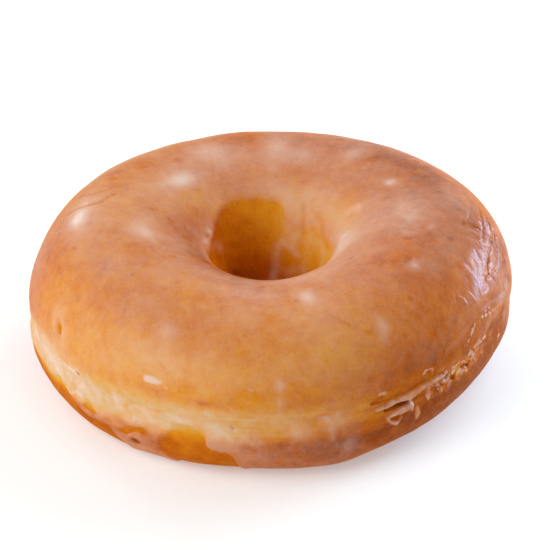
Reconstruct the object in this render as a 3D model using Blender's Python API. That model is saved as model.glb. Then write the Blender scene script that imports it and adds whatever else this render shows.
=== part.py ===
"""A ring doughnut of raised yeast dough, fried and resting on its underside, as one solid.

Metres, +Z up. The front faces -Y, and the origin is the middle of the bounding box's base.
The section through the ring is four quarter superellipses. They meet at the crown, at the
belly (the widest ring), at the throat (the narrowest ring of the hole) and at the flat foot
that it rests on. Slow waves, two or three flattened sides, the proof line around the belly
and one torn crease make it as uneven as dough is.
"""

import math

import bpy
import numpy as np

# Driving dimensions
HEIGHT = 0.0329
BELLY_RADIUS = 0.046
BELLY_LEVEL = 0.0123  # height of the belly above the table
CROWN_RADIUS = 0.0303
THROAT_RADIUS = 0.0093
FOOT_OUTER_RADIUS = 0.0371
FOOT_INNER_RADIUS = 0.019

# Fullness of each quarter: 2 is elliptical, more is squarer, less is nearer a straight line
SHOULDER_FULLNESS = 2.08
FUNNEL_FULLNESS = 2.06
KEEL_FULLNESS = 2.75
UNDER_HOLE_FULLNESS = 2.0

# Waves around the ring: crests, size, direction of one crest in degrees
BELLY_WAVES = ((2, 0.034, 27), (3, 0.0055, -32), (4, 0.0185, 5))  # shares of the radius
CROWN_WAVES = ((1, 0.020, 110), (2, 0.050, -5))  # shares of the height
LEVEL_WAVES = ((1, 0.0015, -78), (2, 0.0008, -74))  # metres
FOOT_WAVES = ((1, 0.0008, -98), (2, 0.0005, 70), (3, 0.0004, 0))  # metres

# Flattened sides: direction in degrees, distance from the axis
FLAT_SIDES = ((160, 0.0478), (206, 0.0481), (335, 0.0450))
FOOT_FLATS = ((209, 0.0375), (260, 0.0345), (326, 0.0291))
FLAT_BLEND = 0.0015

CROWN_FOLLOW = 0.5  # share of the belly's waves that the crown ring takes
HOLE_SHIFT = (-0.0002, -0.0004)

# The proof line: a shallow band around the belly where the two fried halves meet
PROOF_DEPTH = 0.0005
PROOF_DROP = 0.0012  # its middle, below the belly
PROOF_HALF_WIDTH = 0.0030

# The crease: a tear above the proof line, at the front right
CREASE_DEPTH = 0.0012
CREASE_RISE = 0.0022  # its middle, above the belly
CREASE_HALF_WIDTH = 0.0012
CREASE_DIRECTION = -44
CREASE_HALF_ARC = 24

RING_SEGMENTS = 96
SECTION_SEGMENTS = 48
FOOT_HALF_ANGLE = math.radians(15)  # section angle to each side of straight down that is flat

CRUST_COLOUR = (0.60, 0.235, 0.085, 1.0)
CRUST_ROUGHNESS = 0.35


def clear_scene():
    """Remove every object from the open file."""
    for old in list(bpy.data.objects):
        bpy.data.objects.remove(old, do_unlink=True)


def waves(around, crests):
    """The sum of cosine waves around the ring, each with its number, size and direction."""
    return sum(size * np.cos(count * (around - math.radians(crest))) for count, size, crest in crests)


def bump(distance, half_width):
    """A bell curve of height 1."""
    return np.exp(-((distance / half_width) ** 2))


def bearing(around, direction):
    """Angle in degrees from a direction, between -180 and 180."""
    return (np.degrees(around) - direction + 180) % 360 - 180


def soft_minimum(first, second, blend):
    """The lesser of two lengths, with the corner between them rounded."""
    return -blend * np.logaddexp(-first / blend, -second / blend)


def flattened(radius, around, sides):
    """A ring's radius, cut by straight sides at their distances from the axis."""
    for direction, distance in sides:
        facing = np.cos(around - math.radians(direction))
        side = distance / np.maximum(facing, 0.3)
        radius = np.where(facing > 0.3, soft_minimum(radius, side, FLAT_BLEND), radius)
    return radius


def belly_radius(around):
    """Radius of the widest ring: a wavy circle cut by the flattened sides."""
    radius = BELLY_RADIUS * (1 + waves(around, BELLY_WAVES))
    return flattened(radius, around, FLAT_SIDES)


def quarter(angle, fullness):
    """Reach along and across a quarter superellipse, from (1, 0) at 0 to (0, 1) at 90 degrees."""
    power = 2 / fullness
    along = np.clip(np.cos(angle), 0, 1) ** power
    across = np.clip(np.sin(angle), 0, 1) ** power
    return along, across


def ring_section(around, section):
    """Radius and height for the angle around the ring and the angle around its section.

    The section angle is 0 at the belly, 90 degrees at the crown, 180 at the throat and 270
    in the middle of the foot.
    """
    belly = belly_radius(around)
    swell = belly - BELLY_RADIUS
    crown = CROWN_RADIUS + CROWN_FOLLOW * swell
    top = HEIGHT * (1 + waves(around, CROWN_WAVES))
    foot = FOOT_OUTER_RADIUS * belly / BELLY_RADIUS + waves(around, FOOT_WAVES)
    foot = flattened(foot, around, FOOT_FLATS)
    level = BELLY_LEVEL + waves(around, LEVEL_WAVES)

    half_pi = math.pi / 2
    to_foot = half_pi / (half_pi - FOOT_HALF_ANGLE)
    out, up = quarter(section, SHOULDER_FULLNESS)
    shoulder = (crown + (belly - crown) * out, level + (top - level) * up)
    out, up = quarter(math.pi - section, FUNNEL_FULLNESS)
    funnel = (crown - (crown - THROAT_RADIUS) * out, level + (top - level) * up)
    out, down = quarter((section - math.pi) * to_foot, UNDER_HOLE_FULLNESS)
    under_hole = (FOOT_INNER_RADIUS - (FOOT_INNER_RADIUS - THROAT_RADIUS) * out, level * (1 - down))
    out, down = quarter((2 * math.pi - section) * to_foot, KEEL_FULLNESS)
    keel = (foot + (belly - foot) * out, level * (1 - down))
    across_foot = (section - 1.5 * math.pi + FOOT_HALF_ANGLE) / (2 * FOOT_HALF_ANGLE)
    sole = (FOOT_INNER_RADIUS + (foot - FOOT_INNER_RADIUS) * across_foot, 0 * section)

    ends = (half_pi, math.pi, 1.5 * math.pi - FOOT_HALF_ANGLE, 1.5 * math.pi + FOOT_HALF_ANGLE)
    quarters = [section <= end + 1e-6 for end in ends] + [section >= 0]
    pieces = (shoulder, funnel, under_hole, sole, keel)
    radius = np.select(quarters, [piece[0] for piece in pieces])
    height = np.select(quarters, [piece[1] for piece in pieces])

    outside = (np.cos(section) > 0) & (radius > foot)
    above_belly = height - level
    band = PROOF_DEPTH * bump(above_belly + PROOF_DROP, PROOF_HALF_WIDTH)
    tear = CREASE_DEPTH * bump(above_belly - CREASE_RISE, CREASE_HALF_WIDTH)
    tear = tear * bump(bearing(around, CREASE_DIRECTION), CREASE_HALF_ARC)
    return radius - np.where(outside, band + tear, 0), height


def doughnut_points(around, section):
    """Points of the surface, with the hole a little off centre and the base's middle at 0."""
    radius, height = ring_section(around, section)
    inward = np.clip((BELLY_RADIUS - radius) / (BELLY_RADIUS - THROAT_RADIUS), 0, 1)
    inward = inward * inward * (3 - 2 * inward)
    x = radius * np.cos(around) + HOLE_SHIFT[0] * inward
    y = radius * np.sin(around) + HOLE_SHIFT[1] * inward
    x -= (x.max() + x.min()) / 2
    y -= (y.max() + y.min()) / 2
    return np.column_stack((x, y, height))


def crust_material():
    """Fried dough under a thin sugar glaze."""
    material = bpy.data.materials.new("crust")
    material.use_nodes = True
    shader = material.node_tree.nodes["Principled BSDF"]
    shader.inputs["Base Color"].default_value = CRUST_COLOUR
    shader.inputs["Roughness"].default_value = CRUST_ROUGHNESS
    shader.inputs["Metallic"].default_value = 0.0
    material.diffuse_color = CRUST_COLOUR
    return material


def doughnut(collection):
    """A torus whose points are moved out to the doughnut's form."""
    thickness = (BELLY_RADIUS - THROAT_RADIUS) / 2
    bpy.ops.mesh.primitive_torus_add(
        major_segments=RING_SEGMENTS,
        minor_segments=SECTION_SEGMENTS,
        major_radius=BELLY_RADIUS - thickness,
        minor_radius=thickness,
    )
    ring = bpy.context.object
    ring.name = "doughnut"
    mesh = ring.data
    mesh.name = "doughnut"

    points = np.empty(len(mesh.vertices) * 3, np.float32)
    mesh.vertices.foreach_get("co", points)
    x, y, z = points.reshape(-1, 3).astype(float).T
    around = np.arctan2(y, x)
    step = 2 * math.pi / SECTION_SEGMENTS
    section = np.arctan2(z, np.hypot(x, y) - (BELLY_RADIUS - thickness))
    section = (np.round(section / step) % SECTION_SEGMENTS) * step
    mesh.vertices.foreach_set("co", doughnut_points(around, section).ravel())
    mesh.update()
    mesh.shade_smooth()
    mesh.materials.append(crust_material())

    for other in list(ring.users_collection):
        other.objects.unlink(ring)
    collection.objects.link(ring)
    return ring


def main():
    clear_scene()
    collection = bpy.data.collections.new("ring_doughnut")
    bpy.context.scene.collection.children.link(collection)
    doughnut(collection)


main()
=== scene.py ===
"""The looks of a glazed ring doughnut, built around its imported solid.

The crust is the doughnut's whole skin. The glaze lies over it as a closed sheet of sugar with
real thickness, which ends in a scalloped lower rim and in drips down the hole. Two patches of
fine skin are let into the glaze, and loose flakes of sugar lie on it. Every surface is worked
out on a grid of two values: the direction around the ring, in degrees with the front at -90,
and the girth, which is the way along the ring's section in millimetres from the crown.
"""

import itertools
import math

import bpy
import numpy as np
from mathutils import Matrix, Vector


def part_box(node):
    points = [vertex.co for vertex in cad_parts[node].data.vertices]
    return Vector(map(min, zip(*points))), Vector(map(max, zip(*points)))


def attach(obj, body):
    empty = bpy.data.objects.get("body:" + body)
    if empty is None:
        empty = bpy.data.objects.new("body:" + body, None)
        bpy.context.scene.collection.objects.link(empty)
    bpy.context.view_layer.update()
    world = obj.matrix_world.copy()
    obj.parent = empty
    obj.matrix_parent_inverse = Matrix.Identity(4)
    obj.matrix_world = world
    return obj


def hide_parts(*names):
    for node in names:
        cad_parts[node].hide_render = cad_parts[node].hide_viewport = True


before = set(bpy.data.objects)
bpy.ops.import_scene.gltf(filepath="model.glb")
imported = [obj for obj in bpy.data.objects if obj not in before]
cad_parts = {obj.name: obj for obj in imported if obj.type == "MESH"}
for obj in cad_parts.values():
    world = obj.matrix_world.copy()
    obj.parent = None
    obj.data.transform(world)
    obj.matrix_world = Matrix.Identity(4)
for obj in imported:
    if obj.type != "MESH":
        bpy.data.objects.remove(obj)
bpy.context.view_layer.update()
LOW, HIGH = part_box("doughnut")

# One millimetre of the doughnut at its usual width of 94.92 mm. Sizes below are in this unit.
WIDTH = HIGH[0] - LOW[0]
MM = WIDTH / 94.92

# The form, as in the solid
HEIGHT = 32.9
BELLY_RADIUS = 46.0
BELLY_LEVEL = 12.3
CROWN_RADIUS = 30.3
THROAT_RADIUS = 9.3
FOOT_OUTER_RADIUS = 37.1
FOOT_INNER_RADIUS = 19.0
SHOULDER_FULLNESS = 2.08
FUNNEL_FULLNESS = 2.06
KEEL_FULLNESS = 2.75
UNDER_HOLE_FULLNESS = 2.0
BELLY_WAVES = ((2, 0.034, 27), (3, 0.0055, -32), (4, 0.0185, 5))
CROWN_WAVES = ((1, 0.020, 110), (2, 0.050, -5))
LEVEL_WAVES = ((1, 1.5, -78), (2, 0.8, -74))
FOOT_WAVES = ((1, 0.8, -98), (2, 0.5, 70), (3, 0.4, 0))
FLAT_SIDES = ((160, 47.8), (206, 48.1), (335, 45.0))
FOOT_FLATS = ((209, 37.5), (260, 34.5), (326, 29.1))
FLAT_BLEND = 1.5
FLAT_REACH = 0.3  # cosine of the widest angle from its direction that a straight side has
CROWN_FOLLOW = 0.5
HOLE_SHIFT = (-0.2, -0.4)
FOOT_HALF_ANGLE = math.radians(15)
HALF_PI = math.pi / 2

NOISE_CELLS = 64
FINE_COUNT = 7201  # steps around the mean section
TURN_NUDGE, GIRTH_NUDGE = 1e-3, 0.05  # to find the form's slope
FAR_OUTSIDE = -99.0
GROUND_GAP = 0.02


# Plain mathematics


def waves(around, crests):
    """The sum of cosine waves around the ring, each with its number, size and direction."""
    return sum(size * np.cos(count * (around - math.radians(crest))) for count, size, crest in crests)


def bump(distance, half_width):
    """A bell curve of height 1."""
    return np.exp(-((distance / half_width) ** 2))


def smooth(share):
    """A share from 0 to 1, eased at both ends: its square times (3 less twice the share)."""
    return share * share * (3 - 2 * share)


def step(value, start, end):
    """0 before start, 1 after end, smooth between them."""
    return smooth(np.clip((value - start) / (end - start), 0, 1))


def soft_minimum(first, second, blend):
    """The lesser of two lengths, with the corner between them rounded."""
    return -blend * np.logaddexp(-first / blend, -second / blend)


def soft_maximum(first, second, blend):
    """The greater of two lengths, with the corner between them rounded."""
    return blend * np.logaddexp(first / blend, second / blend)


def wrapped(degrees):
    """The same angle, between -180 and 180."""
    return (degrees + 180) % 360 - 180


def bearing(around, direction):
    """Angle in degrees from a direction, between -180 and 180."""
    return wrapped(np.degrees(around) - direction)


def noise(points, cell, seed):
    """Smooth random values between -1 and 1, from random numbers at the corners of cubes."""
    lattice = np.random.default_rng(seed).uniform(-1, 1, (NOISE_CELLS,) * 3)
    scaled = points / cell
    corner = np.floor(scaled).astype(int)
    share = smooth(scaled - corner)
    total = np.zeros(points.shape[:-1])
    for offset in itertools.product((0, 1), repeat=3):
        weight = np.prod(np.where(offset, share, 1 - share), axis=-1)
        index = (corner + offset) % NOISE_CELLS
        total += weight * lattice[index[..., 0], index[..., 1], index[..., 2]]
    return total


def cloud(points, cell, seed, layers=3):
    """Noise of ever finer cells, each layer half the size and half the strength of the last."""
    parts = [noise(points, cell / 2**layer, seed + layer) / 2**layer for layer in range(layers)]
    return sum(parts) / (2 - 0.5 ** (layers - 1))


# The form


def flattened(radius, around, sides):
    """A ring's radius, cut by straight sides at their distances from the axis."""
    for direction, distance in sides:
        facing = np.cos(around - math.radians(direction))
        side = distance / np.maximum(facing, FLAT_REACH)
        radius = np.where(facing > FLAT_REACH, soft_minimum(radius, side, FLAT_BLEND), radius)
    return radius


def quarter(angle, fullness):
    """Reach along and across a quarter superellipse, from (1, 0) at 0 to (0, 1) at 90 degrees."""
    power = 2 / fullness
    along = np.clip(np.cos(angle), 0, 1) ** power
    across = np.clip(np.sin(angle), 0, 1) ** power
    return along, across


def ring_section(around, section):
    """Radius and height for the angle around the ring and the angle around its section.

    The section angle is 0 at the belly, 90 degrees at the crown, 180 at the throat and 270
    in the middle of the foot. Each quarter is a superellipse.
    """
    section = section % (2 * math.pi)
    belly = flattened(BELLY_RADIUS * (1 + waves(around, BELLY_WAVES)), around, FLAT_SIDES)
    crown = CROWN_RADIUS + CROWN_FOLLOW * (belly - BELLY_RADIUS)
    top = HEIGHT * (1 + waves(around, CROWN_WAVES))
    foot = FOOT_OUTER_RADIUS * belly / BELLY_RADIUS + waves(around, FOOT_WAVES)
    foot = flattened(foot, around, FOOT_FLATS)
    level = BELLY_LEVEL + waves(around, LEVEL_WAVES)

    to_foot = HALF_PI / (HALF_PI - FOOT_HALF_ANGLE)
    out, up = quarter(section, SHOULDER_FULLNESS)
    shoulder = (crown + (belly - crown) * out, level + (top - level) * up)
    out, up = quarter(math.pi - section, FUNNEL_FULLNESS)
    funnel = (crown - (crown - THROAT_RADIUS) * out, level + (top - level) * up)
    out, down = quarter((section - math.pi) * to_foot, UNDER_HOLE_FULLNESS)
    under_hole = (FOOT_INNER_RADIUS - (FOOT_INNER_RADIUS - THROAT_RADIUS) * out, level * (1 - down))
    out, down = quarter((2 * math.pi - section) * to_foot, KEEL_FULLNESS)
    keel = (foot + (belly - foot) * out, level * (1 - down))
    across_foot = (section - 1.5 * math.pi + FOOT_HALF_ANGLE) / (2 * FOOT_HALF_ANGLE)
    sole = (FOOT_INNER_RADIUS + (foot - FOOT_INNER_RADIUS) * across_foot, 0 * section)

    ends = (HALF_PI, math.pi, 1.5 * math.pi - FOOT_HALF_ANGLE, 1.5 * math.pi + FOOT_HALF_ANGLE)
    quarters = [section <= end for end in ends] + [section >= 0]
    pieces = (shoulder, funnel, under_hole, sole, keel)
    radius = np.select(quarters, [piece[0] for piece in pieces])
    height = np.select(quarters, [piece[1] for piece in pieces])
    return radius, height


def form_points(around, section):
    """Points of the plain form, with the hole a little off centre."""
    radius, height = ring_section(around, section)
    inward = smooth(np.clip((BELLY_RADIUS - radius) / (BELLY_RADIUS - THROAT_RADIUS), 0, 1))
    x = radius * np.cos(around) + HOLE_SHIFT[0] * inward
    y = radius * np.sin(around) + HOLE_SHIFT[1] * inward
    return np.stack((x, y, height), axis=-1)


def plan_middle():
    """Middle of the plain form's box in plan: the origin of the frame lies there."""
    around, section = np.meshgrid(np.linspace(0, 2 * math.pi, 720), np.radians((-20, -5, 0, 5, 20)))
    points = form_points(around, section)[..., :2].reshape(-1, 2)
    return (points.max(axis=0) + points.min(axis=0)) / 2


MIDDLE = plan_middle()

# Girth: the way along the mean section in millimetres, 0 at the crown, more towards the belly
FINE_SECTIONS = np.radians(np.linspace(90, -270, FINE_COUNT))


def mean_girth():
    """Girth at each fine section angle, measured along the section at the average radius."""
    around = np.radians(np.arange(0, 360, 10))[:, None]
    radius, height = ring_section(around, FINE_SECTIONS[None, :])
    lengths = np.hypot(np.diff(radius, axis=1), np.diff(height, axis=1)).mean(axis=0)
    return np.concatenate(([0], np.cumsum(lengths)))


FINE_GIRTH = mean_girth()
GIRTH = FINE_GIRTH[-1]


def section_of(girth):
    """Section angle at a girth. Negative girths run from the crown into the hole."""
    return np.interp(girth % GIRTH, FINE_GIRTH, FINE_SECTIONS)


class Grid:
    """Points, outward normals and distances of the form at every crossing of two lists."""

    def __init__(self, arounds, girths):
        self.around, self.girth = np.meshgrid(arounds, girths, indexing="ij")
        section = section_of(self.girth)
        self.points = form_points(self.around, section)
        self.points[..., :2] -= MIDDLE
        self.radius = ring_section(self.around, section)[0]
        along = form_points(self.around + TURN_NUDGE, section)
        along = along - form_points(self.around - TURN_NUDGE, section)
        down = form_points(self.around, section_of(self.girth + GIRTH_NUDGE))
        down = down - form_points(self.around, section_of(self.girth - GIRTH_NUDGE))
        normal = np.cross(down, along)
        self.normals = normal / np.linalg.norm(normal, axis=-1, keepdims=True)

    def flat(self, value=0.0):
        """One value at every point."""
        return np.full(self.girth.shape, value)

    def cloud(self, cell, seed, layers=3, squash=1.0):
        """Layered noise at the points; squash shortens its cells in height."""
        return cloud(self.points * (1, 1, squash), cell, seed, layers)

    def across(self, direction):
        """Distance around the ring from a direction, in millimetres."""
        return self.radius * np.radians(bearing(self.around, direction))

    def away(self, direction, girth, stretch, turn=0.0):
        """Distance from a spot, in millimetres; stretch lengthens the spot around the ring."""
        across = self.across(direction)
        down = self.girth - girth
        cosine, sine = math.cos(math.radians(turn)), math.sin(math.radians(turn))
        return np.hypot((across * cosine + down * sine) / stretch, down * cosine - across * sine)

    def ribbon(self, route):
        """Distance inside a ribbon in millimetres, negative outside it.

        The route is points of (direction, girth, half width), joined by straight stretches.
        """
        inset = self.flat(FAR_OUTSIDE)
        for (direction, girth, wide), (next_direction, next_girth, next_wide) in zip(route, route[1:]):
            across = self.across(direction)
            down = self.girth - girth
            run = self.radius * math.radians(wrapped(next_direction - direction))
            fall = next_girth - girth
            share = np.clip((across * run + down * fall) / (run**2 + fall**2), 0, 1)
            distance = np.hypot(across - share * run, down - share * fall)
            inset = np.maximum(inset, wide + share * (next_wide - wide) - distance)
        return inset

    def along(self, route):
        """Distance in millimetres from a line of straight stretches through (direction, girth)."""
        return -self.ribbon([(direction, girth, 0) for direction, girth in route])

    def inside(self, corners):
        """Distance inside a closed outline of (direction, girth) corners, negative outside it."""
        middle = sum(direction for direction, _ in corners) / len(corners)
        nearest = self.along((*corners, corners[0]))
        across = self.across(middle)
        within = np.zeros(self.girth.shape, bool)
        after = (*corners[1:], corners[0])
        for (direction, girth), (next_direction, next_girth) in zip(corners, after):
            crosses = (self.girth < girth) != (self.girth < next_girth)
            share = (self.girth - girth) / (next_girth - girth + 1e-9)
            edge = direction + share * (next_direction - direction) - middle
            within ^= crosses & (across < self.radius * np.radians(edge))
        return np.where(within, nearest, -nearest)

    def oval(self, direction, girth, half_length, half_height, turn):
        """Distance from an oval's middle, as a share of its half size: 1 on its edge."""
        return self.away(direction, girth, half_length / half_height, turn) / half_height

    def ovals(self, rows):
        """Sum of soft-edged ovals: direction, girth, half length, half height, turn, amount."""
        total = self.flat()
        for *place, amount in rows:
            total += amount * bump(self.oval(*place), 1)
        return total

    def lines(self, rows, wobble=0.0):
        """Sum of soft-edged lines: route, half width, amount. Wobble shifts them sideways."""
        total = self.flat()
        for route, half_width, amount in rows:
            total += amount * bump(self.along(route) + wobble, half_width)
        return total

    def crackle(self, cell, seed):
        """Distance from the nearest crack of a net, in cells: 0 on the cracks, more between them.

        Every square cell holds one random point; the cracks lie where the two nearest points
        are equally far.
        """
        jitter = np.random.default_rng(seed).uniform(0, 1, (NOISE_CELLS, NOISE_CELLS, 2))
        place = np.stack((self.around * BELLY_RADIUS, self.girth), axis=-1) / cell
        corner = np.floor(place).astype(int)
        gaps = []
        for offset in itertools.product((-1, 0, 1), repeat=2):
            near = corner + offset
            index = near % NOISE_CELLS
            gaps.append(np.linalg.norm(near + jitter[index[..., 0], index[..., 1]] - place, axis=-1))
        first, second = np.sort(gaps, axis=0)[:2]
        return second - first


# The dough: how it is fried, and its relief. Places are (direction, girth).

PROOF_GIRTH = 29.0
PROOF_HALF_WIDTH = 3.2
PROOF_DEPTH = 0.5
LUMPS = ((0.35, 15, 1), (0.07, 4.5, 5), (0.02, 1.6, 9))  # height, cell, seed

# Folds of the skin: route, half width, height
FOLDS = (
    (((176, 7.8), (180, 5.8), (-179, 4.2), (-179, 3.1), (-179, 1.8), (179, 0.5), (175, -0.4)), 0.45, -0.22),
    (((173, 6.6), (174, 5.5), (176, 3.9), (175, 2.6), (173, 1.6)), 0.60, 0.08),
    (((3, 11.3), (-2, 13.2), (-6, 13.6), (-9, 14.1), (-12, 15.1), (-15, 16.0)), 0.30, -0.16),
    (((0, 13.2), (-2, 14.2), (-5, 16.4), (-10, 17.5), (-13, 18.2)), 0.30, -0.16),
    (((6, 9.5), (2, 9.4), (-3, 10.6), (-8, 11.6)), 0.35, -0.08),
    (((-11, 23.4), (-16, 22.4), (-20, 21.6), (-24, 21.4), (-28, 21.8), (-33, 23.0)), 0.45, 0.18),
    (((70, 12.0), (76, 13.1), (83, 13.0), (88, 14.6)), 0.50, -0.15),
    (((118, 17.5), (123, 16.2), (130, 16.8)), 0.50, -0.15),
    (((132, -16.4), (142, -17.8), (152, -19.2), (162, -20.4), (172, -21.2), (182, -21.2)), 1.10, 0.55),
    (((9, -19.8), (2, -18.6), (-6, -18.0), (-14, -18.2)), 1.00, 0.35),
    (((64.9, -16.5), (61, -19.5), (56, -22.9)), 0.70, -0.12),
)
# Cracks in the glaze, where bare dough shows: route, half width, share
CRACKS = (
    (((64.9, -16.6), (61, -19.5), (56, -22.9)), 0.60, 0.32),
    (((56, -17.2), (50, -17.6), (44, -18.6), (38, -20.0)), 0.60, 0.30),
    (((-135.6, 14.7), (-134, 17.2), (-131.5, 19.2)), 0.25, 0.25),
    (((-106, 24.0), (-103.3, 24.2), (-100.5, 25.1)), 0.70, 0.35),
    (((-179, 8.2), (180, 5.8), (-179, 4.2), (-179, 1.8), (175, -0.4)), 0.35, 0.5),
    (((173, 6.6), (175, 3.9), (173, 1.6)), 0.30, 0.4),
)

# How far each region of the dough is fried, from 0 to 1; how much less on the light flank; and how
# much more towards one direction, in degrees
TOP_FRIED, TOP_TURN, TOP_DARKEST = 0.73, 0.07, 20
FLANK_FRIED, FLANK_LIGHTER = 0.86, 0.40
LINE_FRIED = 0.18
# below the proof line: browner dough, and darker still as painted shade where little light comes from below
BELOW_FRIED_AND_SHADE, BELOW_LIGHTER = 0.96, 0.24
HOLE_FRIED, HOLE_TURN, HOLE_DARKEST = 0.60, 0.17, 155
# Girths where one region passes into the next
TOP_TO_FLANK = (8, 19)
FLANK_TO_LINE = (24.0, 27.5)
LINE_TO_BELOW = (30.0, 34)
LINE_MIDDLE = 29

# Where the flank is fried light, and where the proof line stays pale: direction, half width, share
LIGHT_FLANK = ((-125, 58, 1.0), (110, 45, 0.5))
PALE_LINE = ((-142, 52, 1.0), (30, 22, 0.45), (95, 45, 0.7))

# Patches of lighter and darker frying, and three of painted shade low at the front: direction, girth, half
# length, half height, turn, change
FRYING_AND_SHADE = (
    (-52, 21.5, 11, 3.2, -6, 0.14),
    (-8, 6, 16, 7, 0, 0.12),
    (-74, 12, 10, 6, 0, -0.10),
    (-172, 15, 8, 7, 0, 0.20),
    (-178, -16, 13, 4, 0, 0.16),
    (-20, -18, 18, 4, 0, -0.14),
    (45, -16, 16, 4, 0, -0.16),
    (-118, 23.3, 3.2, 1.3, 0, 0.14),
    (-148, 5.8, 1.6, 0.9, 25, 0.20),
    (-152, 6.6, 4.0, 1.6, 10, 0.08),
    (-172, 3.6, 2.2, 0.9, 0, 0.12),
    (172, -2.2, 1.6, 0.8, 0, 0.12),
    (160, 3.0, 2.0, 1.0, 0, 0.16),
    (-106, 24.0, 2.4, 0.9, 0, 0.16),
    (-95.8, 33.3, 1.6, 0.8, 0, 0.12),
    (-87.8, 33.1, 1.8, 0.9, 0, 0.12),
    # painted shade low on the front (this row and the next)
    (-35, 31, 22, 6.5, 0, 0.12),
    (-78, 35.5, 12, 3.5, 0, 0.12),
    (-172, 24, 6, 4, 0, 0.14),
    (-12, 25.0, 9, 4.0, 10, 0.10),
    (-125, -8, 26, 7, 0, 0.10),
    (-124, 36.8, 1.3, 1.0, 0, 0.25),
    (-12, 31, 8, 3, 0, 0.12),
    (-13, 24.6, 7, 1.6, 10, -0.12),
    (-3, 16, 4, 6, 0, 0.10),
    (-55, -10, 18, 5, 0, -0.08),
    (58, -18, 14, 6, 0, -0.10),
    (90, -5, 14, 4, 0, 0.05),
    (-8, -6, 18, 4, 0, 0.08),
    (-74, 14, 22, 8, 0, -0.05),
    (-95, 6, 26, 5, 0, -0.03),
    (60, -16, 24, 5, 0, -0.04),
    (-130, -10, 16, 5, 0, 0.06),
    (-95, -9, 14, 6, 0, 0.05),
    (-150, 20.9, 1.4, 0.9, 60, 0.20),
    (-26, 24.0, 7, 1.8, -6, 0.06),
    (35, 2, 22, 4.5, 0, 0.15),
    (105, 0, 26, 4, 0, 0.06),
    (-112, -12.5, 12, 3.2, 0, 0.12),
    (-160, -17, 10, 5, 0, 0.14),
    (58, -24, 8, 6, 0, -0.08),
    # painted shade low on the front
    (-40, 32, 13, 3, 0, 0.10),
    (-118, 35.5, 3.0, 2.0, 0, 0.18),
    (-136, 36, 8, 2, 0, 0.12),
    (110, -31, 16, 4, 0, 0.16),
    (152, -14, 9, 4, 0, -0.16),
    (60, 18, 26, 7, 0, 0.08),
    (95, 25, 16, 3, 0, 0.10),
    (135, 20, 20, 6, 0, -0.10),
    (20, 24, 12, 4, 0, -0.10),
)


def proof_band(grid):
    """1 on the stretched skin along the proof line where it is pale, 0 away from it."""
    return bump(grid.girth - PROOF_GIRTH - 0.3, 4.0) * sides(grid, PALE_LINE[:1])


def dough_relief(grid):
    """How far the dough stands proud of the plain form, in millimetres: slow lumps, the proof
    line as a shallow wrinkled band, and folds of the skin."""
    relief = sum(height * grid.cloud(cell, seed, 2) for height, cell, seed in LUMPS)
    band = bump(grid.girth - PROOF_GIRTH, PROOF_HALF_WIDTH)
    relief -= band * (PROOF_DEPTH - 0.14 * grid.cloud(5, 12, squash=4))
    relief += 0.10 * proof_band(grid) * grid.cloud(1.4, 15, 2, squash=1.5)
    return relief + grid.lines(FOLDS)


def sides(grid, rows):
    """Sum of smooth crests around the ring, at most 1."""
    total = grid.flat()
    for direction, half_width, share in rows:
        total += share * bump(bearing(grid.around, direction), half_width)
    return np.minimum(total, 1)


def hole_rim(grid):
    """Girth of the glaze's rim in the hole."""
    directions, girths = zip(*HOLE_RIM)
    return np.interp(np.degrees(grid.around), directions, girths, period=360)


def browning_and_shade(grid):
    """How far the dough is fried: 0 is cream, 0.35 ochre, 0.6 orange, 0.8 brown, 1 dark.

    The top is orange-brown. The flank is ochre where it is fried light. The proof line is cream,
    and below it the dough is brown again, and darker still as painted shade for the weak light
    from below; a few patches low at the front are painted shade too. The hole is orange on its
    right, browner on its left.
    """
    girth = grid.girth + 0.9 * grid.cloud(7, 30)
    wander = grid.cloud(4, 39, squash=3)
    light = sides(grid, LIGHT_FLANK)
    top = TOP_FRIED + TOP_TURN * np.cos(grid.around - math.radians(TOP_DARKEST))
    top = top + 0.08 * grid.cloud(15, 33, 2) + 0.09 * grid.cloud(5, 36)
    flank = FLANK_FRIED - FLANK_LIGHTER * light + 0.06 * wander
    streaks = grid.cloud(3.5, 26, 3, squash=6)
    line = flank + (LINE_FRIED - flank) * sides(grid, PALE_LINE) + 0.16 * streaks
    below = BELOW_FRIED_AND_SHADE - BELOW_LIGHTER * light + 0.06 * wander
    brown = top + (flank - top) * step(girth, *TOP_TO_FLANK)
    brown = brown + (line - brown) * step(girth, *FLANK_TO_LINE)
    brown = np.where(girth < LINE_MIDDLE, brown, line + (below - line) * step(girth, *LINE_TO_BELOW))
    hole = HOLE_FRIED + HOLE_TURN * np.cos(grid.around - math.radians(HOLE_DARKEST))
    brown += (hole - brown) * step(hole_rim(grid) - grid.girth, -2.5, 0.6)
    brown = brown + 0.20 * proof_band(grid) * grid.cloud(3.2, 17, 3, squash=1.5)
    return np.clip(brown + grid.ovals(FRYING_AND_SHADE) + 0.25 * grid.lines(CRACKS), 0, 1)


# The glaze

GLAZE_FROM, GLAZE_TO = -34.0, 50.0  # girth
LOWER_RIM = 42.0
FRONT_DROP = 5.5  # how much further down it reaches at the front
FILM = 0.16  # thickness of the plain film
RIM_BEAD = 0.34  # extra thickness of the bead along a crisp rim
SUNK = 0.30  # how deep the outer side ends under the crust beyond the rim
INNER_SIDE = -0.45  # the sheet's inner side, under the crust's skin
FEATHER_WIDTH = 2.5  # how far a feathered rim takes to reach the film's thickness
RIM_ROUND = 0.55  # how far a crisp rim takes to rise
WELL_INSIDE = 9.0  # a distance from the rim at which it has no effect
BEAD_FADE = (-16, -10)  # girths over which the bead dies away towards the hole
CRISP_FADE = (-18, -13)
FILM_FADE = (-17, -14)
CLEAREST = -0.2  # the least milkiness, which also clears the sugar's own fine clouds
FRONT_SAG = (-52, 42)  # direction and half width of the stretch that reaches further down

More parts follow.
